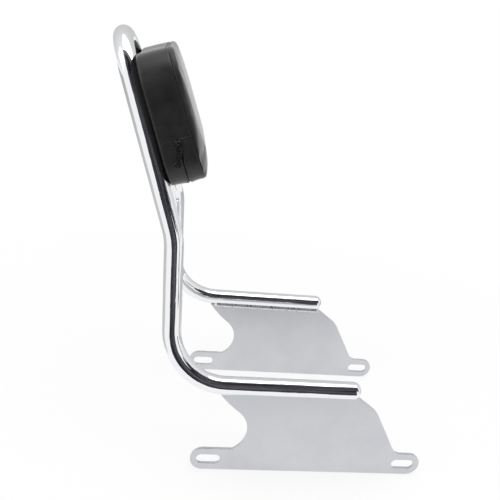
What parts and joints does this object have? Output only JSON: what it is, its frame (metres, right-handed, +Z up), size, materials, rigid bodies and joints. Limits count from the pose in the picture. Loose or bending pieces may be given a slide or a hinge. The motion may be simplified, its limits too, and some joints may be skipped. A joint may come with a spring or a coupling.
{
  "type": "sissy bar",
  "caption": "Bent chrome tube sissy bar with slotted side plates and a zipped black backrest pad.",
  "frame": {"origin": "middle of the overall box in plan, level with the lower edges of the side plates", "axes": "+X to the front of the motorcycle, +Y to the rider's left, +Z up"},
  "size_m": [0.4202, 0.256, 0.5067],
  "materials": {
    "plated_tube": "polished chrome plate on steel tube",
    "satin_plate": "flat satin-plated steel, weld beads plated over",
    "cover": "black vinyl leatherette, fine grain",
    "fill": "foam filling",
    "board": "raw plywood",
    "zip_tape": "woven polyester",
    "zip_teeth": "moulded nylon coil",
    "zip_metal": "dark lacquered zinc",
    "bright_metal": "bright stop clips",
    "zinc": "zinc plated fasteners"
  },
  "bodies": {
    "frame": {"hoop_tube": "plated_tube", "right_end_cap": "plated_tube", "left_end_cap": "plated_tube", "right_side_plate": "satin_plate", "left_side_plate": "satin_plate", "right_plate_weld": "satin_plate", "left_plate_weld": "satin_plate", "upper_cross_strap": "satin_plate", "lower_cross_strap": "satin_plate", "upper_strap_welds": "satin_plate", "lower_strap_welds": "satin_plate", "pad_base_board": "board", "pad_foam": "fill", "back_panel": "cover", "front_panel": "cover", "side_gusset": "cover", "rear_zip_facing": "cover", "front_zip_facing": "cover", "rear_zip_tape": "zip_tape", "front_zip_tape": "zip_tape", "rear_zip_coil": "zip_teeth", "front_zip_coil": "zip_teeth", "zip_stops": "bright_metal", "pad_screws": "zinc", "spring_washers": "zinc", "flat_washers": "zinc", "threaded_inserts": "zinc"},
    "slider": {"zip_slider": "zip_metal"},
    "pull": {"zip_pull": "zip_metal"}
  },
  "joints": [
    {"name": "zip_slide", "type": "slide", "parent": "frame", "child": "slider", "axis": [0.3322, 0, -0.9432], "range_m": [0, 0.006]},
    {"name": "pull_swing", "type": "hinge", "parent": "slider", "child": "pull", "pos_m": [-0.13041, -0.0886, 0.39687], "axis": [-1, 0, 0], "range_deg": [0, 150]}
  ]
}
